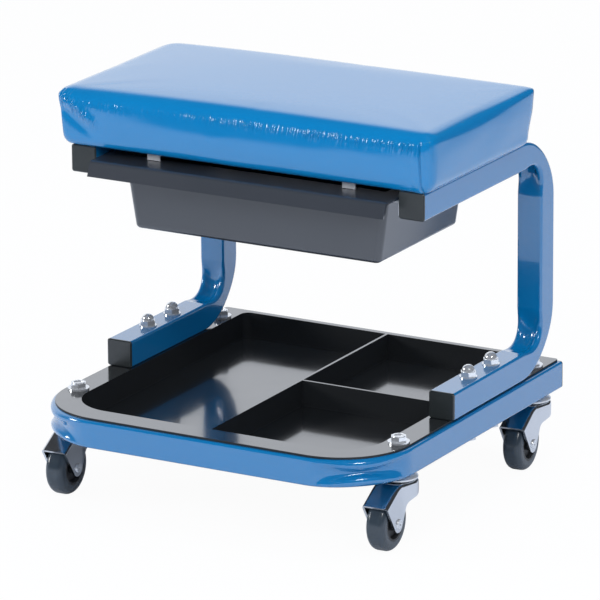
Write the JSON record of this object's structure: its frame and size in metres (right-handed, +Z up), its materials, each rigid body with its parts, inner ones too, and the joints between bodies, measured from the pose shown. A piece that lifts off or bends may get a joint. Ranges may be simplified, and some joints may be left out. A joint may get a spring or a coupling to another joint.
{
  "type": "rolling mechanic seat",
  "caption": "Low workshop seat on swivel casters: padded vinyl top on C-shaped tube legs, a sliding drawer under the seat and a divided tool tray in a U-bent base.",
  "frame": {"origin": "on the floor under the middle of the base, midway between its sides and between its front bar and rear ends", "axes": "+Z up, +X to the right along the seat's long side, -Y to the front, where the drawer opens"},
  "size_m": [0.3798, 0.357, 0.3658],
  "materials": {
    "frame_paint": "gloss blue powder coat",
    "tray_plastic": "gloss black moulded sheet",
    "drawer_plastic": "satin dark grey moulding",
    "cap_plastic": "satin black moulding",
    "vinyl": "gloss blue vinyl",
    "foam": "open-cell foam",
    "board": "plywood",
    "zinc": "bright zinc plate",
    "chrome": "bright chrome plate",
    "tread": "smooth grey tread",
    "hub_plastic": "black moulding"
  },
  "bodies": {
    "sliding_drawer": {"drawer": "drawer_plastic"},
    "front_left_swivel": {"front_left_axle": "zinc", "front_left_fork": "chrome"},
    "front_left_wheel": {"front_left_bush": "hub_plastic", "front_left_hub": "hub_plastic", "front_left_tyre": "tread"},
    "front_right_swivel": {"front_right_axle": "zinc", "front_right_fork": "chrome"},
    "front_right_wheel": {"front_right_bush": "hub_plastic", "front_right_hub": "hub_plastic", "front_right_tyre": "tread"},
    "rear_left_swivel": {"rear_left_axle": "zinc", "rear_left_fork": "chrome"},
    "rear_left_wheel": {"rear_left_bush": "hub_plastic", "rear_left_hub": "hub_plastic", "rear_left_tyre": "tread"},
    "rear_right_swivel": {"rear_right_axle": "zinc", "rear_right_fork": "chrome"},
    "rear_right_wheel": {"rear_right_bush": "hub_plastic", "rear_right_hub": "hub_plastic", "rear_right_tyre": "tread"},
    "frame": {"base_frame": "frame_paint", "caster_nuts": "zinc", "caster_washers": "zinc", "dome_nuts": "chrome", "drawer_stops": "zinc", "front_left_balls": "zinc", "front_left_stem": "zinc", "front_right_balls": "zinc", "front_right_stem": "zinc", "left_leg": "frame_paint", "left_rail": "zinc", "left_rear_plug": "cap_plastic", "leg_bolts": "zinc", "leg_washers": "zinc", "lower_left_cap": "cap_plastic", "lower_right_cap": "cap_plastic", "rail_rivets": "zinc", "rear_left_balls": "zinc", "rear_left_stem": "zinc", "rear_right_balls": "zinc", "rear_right_stem": "zinc", "right_leg": "frame_paint", "right_rail": "zinc", "right_rear_plug": "cap_plastic", "seat_board": "board", "seat_cover": "vinyl", "seat_foam": "foam", "seat_screws": "zinc", "stop_screws": "zinc", "tee_nuts": "zinc", "tray": "tray_plastic", "upper_left_cap": "cap_plastic", "upper_right_cap": "cap_plastic"}
  },
  "joints": [
    {"name": "front_left_swivel_turn", "type": "hinge", "parent": "frame", "child": "front_left_swivel", "pos_m": [-0.163, -0.106, 0.0583], "axis": [0, 0, 1], "continuous": true},
    {"name": "front_left_wheel_spin", "type": "hinge", "parent": "front_left_swivel", "child": "front_left_wheel", "pos_m": [-0.16213, -0.13079, 0.025], "axis": [0.9994, 0.0349, 0], "continuous": true},
    {"name": "front_right_swivel_turn", "type": "hinge", "parent": "frame", "child": "front_right_swivel", "pos_m": [0.163, -0.106, 0.0583], "axis": [0, 0, 1], "continuous": true},
    {"name": "front_right_wheel_spin", "type": "hinge", "parent": "front_right_swivel", "child": "front_right_wheel", "pos_m": [0.16387, -0.13079, 0.025], "axis": [0.9994, 0.0349, 0], "continuous": true},
    {"name": "rear_left_swivel_turn", "type": "hinge", "parent": "frame", "child": "rear_left_swivel", "pos_m": [-0.163, 0.147, 0.0583], "axis": [0, 0, 1], "continuous": true},
    {"name": "rear_left_wheel_spin", "type": "hinge", "parent": "rear_left_swivel", "child": "rear_left_wheel", "pos_m": [-0.16257, 0.1222, 0.025], "axis": [0.9998, 0.0175, 0], "continuous": true},
    {"name": "rear_right_swivel_turn", "type": "hinge", "parent": "frame", "child": "rear_right_swivel", "pos_m": [0.163, 0.147, 0.0583], "axis": [0, 0, 1], "continuous": true},
    {"name": "rear_right_wheel_spin", "type": "hinge", "parent": "rear_right_swivel", "child": "rear_right_wheel", "pos_m": [0.16473, 0.12226, 0.025], "axis": [0.9976, 0.0698, 0], "continuous": true},
    {"name": "drawer_slide", "type": "slide", "parent": "frame", "child": "sliding_drawer", "axis": [0, -1, 0], "range_m": [0, 0.158]}
  ]
}
